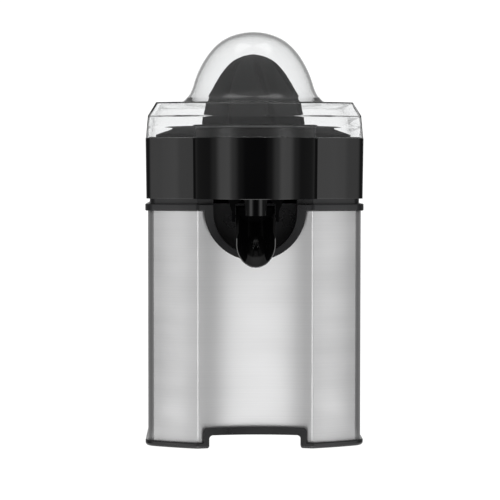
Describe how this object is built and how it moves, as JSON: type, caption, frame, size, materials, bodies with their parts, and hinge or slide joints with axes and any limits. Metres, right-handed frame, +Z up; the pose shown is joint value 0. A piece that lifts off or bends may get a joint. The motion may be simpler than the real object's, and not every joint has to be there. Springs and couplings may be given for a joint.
{
  "type": "electric citrus juicer",
  "caption": "Upright electric citrus juicer: steel body, black juice bowl with a tip-up drip spout, strainer, ribbed reamer on a geared press-to-start drive, and a clear domed cover.",
  "frame": {"origin": "centre of the bounding box on the bench, under the feet; the drive axis is the Z axis", "axes": "+Z up along the drive axis, -Y to the front where the spout is, +X to the right seen from the front"},
  "size_m": [0.1774, 0.206, 0.34],
  "materials": {
    "steel_brushed": "fine level brush",
    "black_gloss": "high gloss",
    "black_satin": "satin",
    "cover_clear": "clear, slightly grey",
    "charcoal": "satin",
    "rubber_black": "matte",
    "steel_plain": "bright",
    "gear_ivory": "moulded",
    "bronze": "sintered",
    "core_iron": "stacked plates",
    "copper": "wound and varnished",
    "switch_plastic": "moulded"
  },
  "bodies": {
    "housing": {"top_deck": "black_satin", "steel_shell": "steel_brushed", "base_frame": "black_satin", "bottom_cover": "black_satin", "rubber_feet": "rubber_black", "base_screws": "steel_plain", "cord_gland": "rubber_black", "shaft_bush": "bronze", "shaft_seal": "rubber_black", "gearbox_case": "gear_ivory", "gearbox_lid": "gear_ivory", "gearbox_screws": "steel_plain", "idler_axle": "steel_plain", "lower_bush": "bronze", "upper_bush": "bronze", "motor_core": "core_iron", "motor_coils": "copper", "motor_bracket": "steel_plain", "motor_screws": "steel_plain", "rotor_bushes": "bronze", "switch_body": "switch_plastic", "switch_screws": "steel_plain"},
    "output": {"output_gear": "gear_ivory", "return_spring": "steel_plain"},
    "idler": {"idler_gear": "gear_ivory"},
    "rotor": {"rotor_shaft": "steel_plain", "rotor_magnet": "core_iron", "rotor_pinion": "gear_ivory"},
    "shaft": {"drive_shaft": "steel_plain", "shaft_clip": "steel_plain", "spring_collar": "steel_plain"},
    "button": {"switch_button": "switch_plastic"},
    "bowl": {"juice_bowl": "black_gloss", "spout_pins": "steel_plain"},
    "spout": {"drip_spout": "black_gloss"},
    "basket": {"strainer_basket": "charcoal"},
    "pulp_ring": {"pulp_control_ring": "charcoal"},
    "hub": {"reamer_hub": "charcoal"},
    "cone": {"reamer": "charcoal"},
    "cover": {"dust_cover": "cover_clear"}
  },
  "joints": [
    {"name": "bowl_lift", "type": "slide", "parent": "housing", "child": "bowl", "axis": [0, 0, 1], "range_m": [0, 0.09]},
    {"name": "spout_snap", "type": "hinge", "parent": "bowl", "child": "spout", "pos_m": [0, -0.076, 0.188], "axis": [-1, 0, 0], "range_deg": [0, 55]},
    {"name": "basket_lift", "type": "slide", "parent": "bowl", "child": "basket", "axis": [0, 0, 1], "range_m": [0, 0.06]},
    {"name": "cover_lift", "type": "slide", "parent": "basket", "child": "cover", "axis": [0, 0, 1], "range_m": [0, 0.09]},
    {"name": "pulp_turn", "type": "hinge", "parent": "basket", "child": "pulp_ring", "pos_m": [0, 0, 0.25], "axis": [0, 0, 1], "range_deg": [0, 11.25]},
    {"name": "reamer_spin", "type": "hinge", "parent": "basket", "child": "hub", "pos_m": [0, 0, 0.256], "axis": [0, 0, 1], "continuous": true},
    {"name": "output_spin", "type": "hinge", "parent": "housing", "child": "output", "pos_m": [0, 0, 0.16], "axis": [0, 0, 1], "continuous": true},
    {"name": "idler_spin", "type": "hinge", "parent": "housing", "child": "idler", "pos_m": [0, 0.033, 0.155], "axis": [0, 0, 1], "continuous": true},
    {"name": "rotor_spin", "type": "hinge", "parent": "housing", "child": "rotor", "pos_m": [0.02239, 0.04699, 0.12], "axis": [0, 0, 1], "continuous": true},
    {"name": "reamer_press", "type": "slide", "parent": "hub", "child": "cone", "axis": [0, 0, -1], "range_m": [0, 0.003]},
    {"name": "shaft_press", "type": "slide", "parent": "output", "child": "shaft", "axis": [0, 0, -1], "range_m": [0, 0.003], "stiffness_N_per_m": 800, "springref_m": -0.008, "deforming": ["return_spring"]},
    {"name": "switch_press", "type": "slide", "parent": "housing", "child": "button", "axis": [0, 0, -1], "range_m": [0, 0.003], "stiffness_N_per_m": 60, "springref_m": -0.004}
  ],
  "couplings": [
    {"joint": "output_spin", "follows": "reamer_spin", "ratio": 1},
    {"joint": "idler_spin", "follows": "reamer_spin", "ratio": -4.5},
    {"joint": "rotor_spin", "follows": "reamer_spin", "ratio": 20.25},
    {"joint": "shaft_press", "follows": "reamer_press", "ratio": 1},
    {"joint": "switch_press", "follows": "reamer_press", "ratio": 1}
  ]
}
